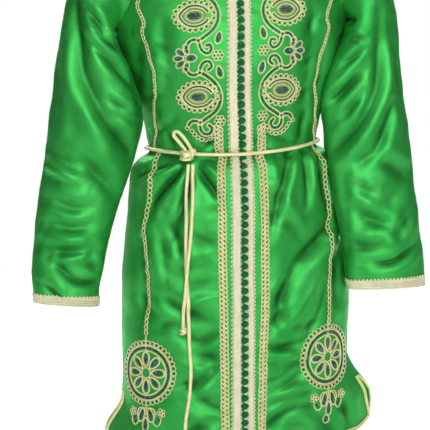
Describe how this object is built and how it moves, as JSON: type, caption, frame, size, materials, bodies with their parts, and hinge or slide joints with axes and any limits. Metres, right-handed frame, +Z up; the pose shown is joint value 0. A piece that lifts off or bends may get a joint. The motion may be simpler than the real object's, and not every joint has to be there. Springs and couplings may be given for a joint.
{
  "type": "tunic",
  "caption": "Long-sleeved satin tunic, worn and hollow, with a knot-buttoned front, gold cord embroidery, side slits and a tied cord belt.",
  "frame": {"origin": "midway between the two points where the neckline meets the shoulder seams, where the wearer's shoulders carry the garment", "axes": "+Z up, -Y the way the wearer faces, +X towards the wearer's left"},
  "size_m": [0.6584, 0.2586, 0.9227],
  "materials": {
    "satin": "green satin with a soft sheen",
    "gold_braid": "woven pale gold braid",
    "gold_cord": "twisted gold cord with dark green beads",
    "knot_silk": "dark green silk"
  },
  "bodies": {
    "root": {"front_left": "satin", "front_right": "satin", "back": "satin", "sleeve_left": "satin", "sleeve_right": "satin", "placket_braid_left": "gold_braid", "placket_braid_right": "gold_braid", "neck_braid_left": "gold_braid", "neck_braid_right": "gold_braid", "neck_braid_back": "gold_braid", "cuff_braid_left": "gold_braid", "cuff_braid_right": "gold_braid", "double_chain_left": "gold_cord", "double_chain_right": "gold_cord", "side_chain_left": "gold_cord", "side_chain_right": "gold_cord", "hem_trim_left": "gold_cord", "hem_trim_right": "gold_cord", "hem_trim_back": "gold_cord", "chest_embroidery_left": "gold_cord", "chest_embroidery_right": "gold_cord", "rosette_left": "gold_cord", "rosette_right": "gold_cord", "belt": "gold_cord", "belt_end_short": "gold_cord", "belt_tip_short": "gold_cord", "belt_end_long": "gold_cord", "belt_tip_long": "gold_cord", "knot_buttons": "knot_silk"}
  },
  "joints": []
}
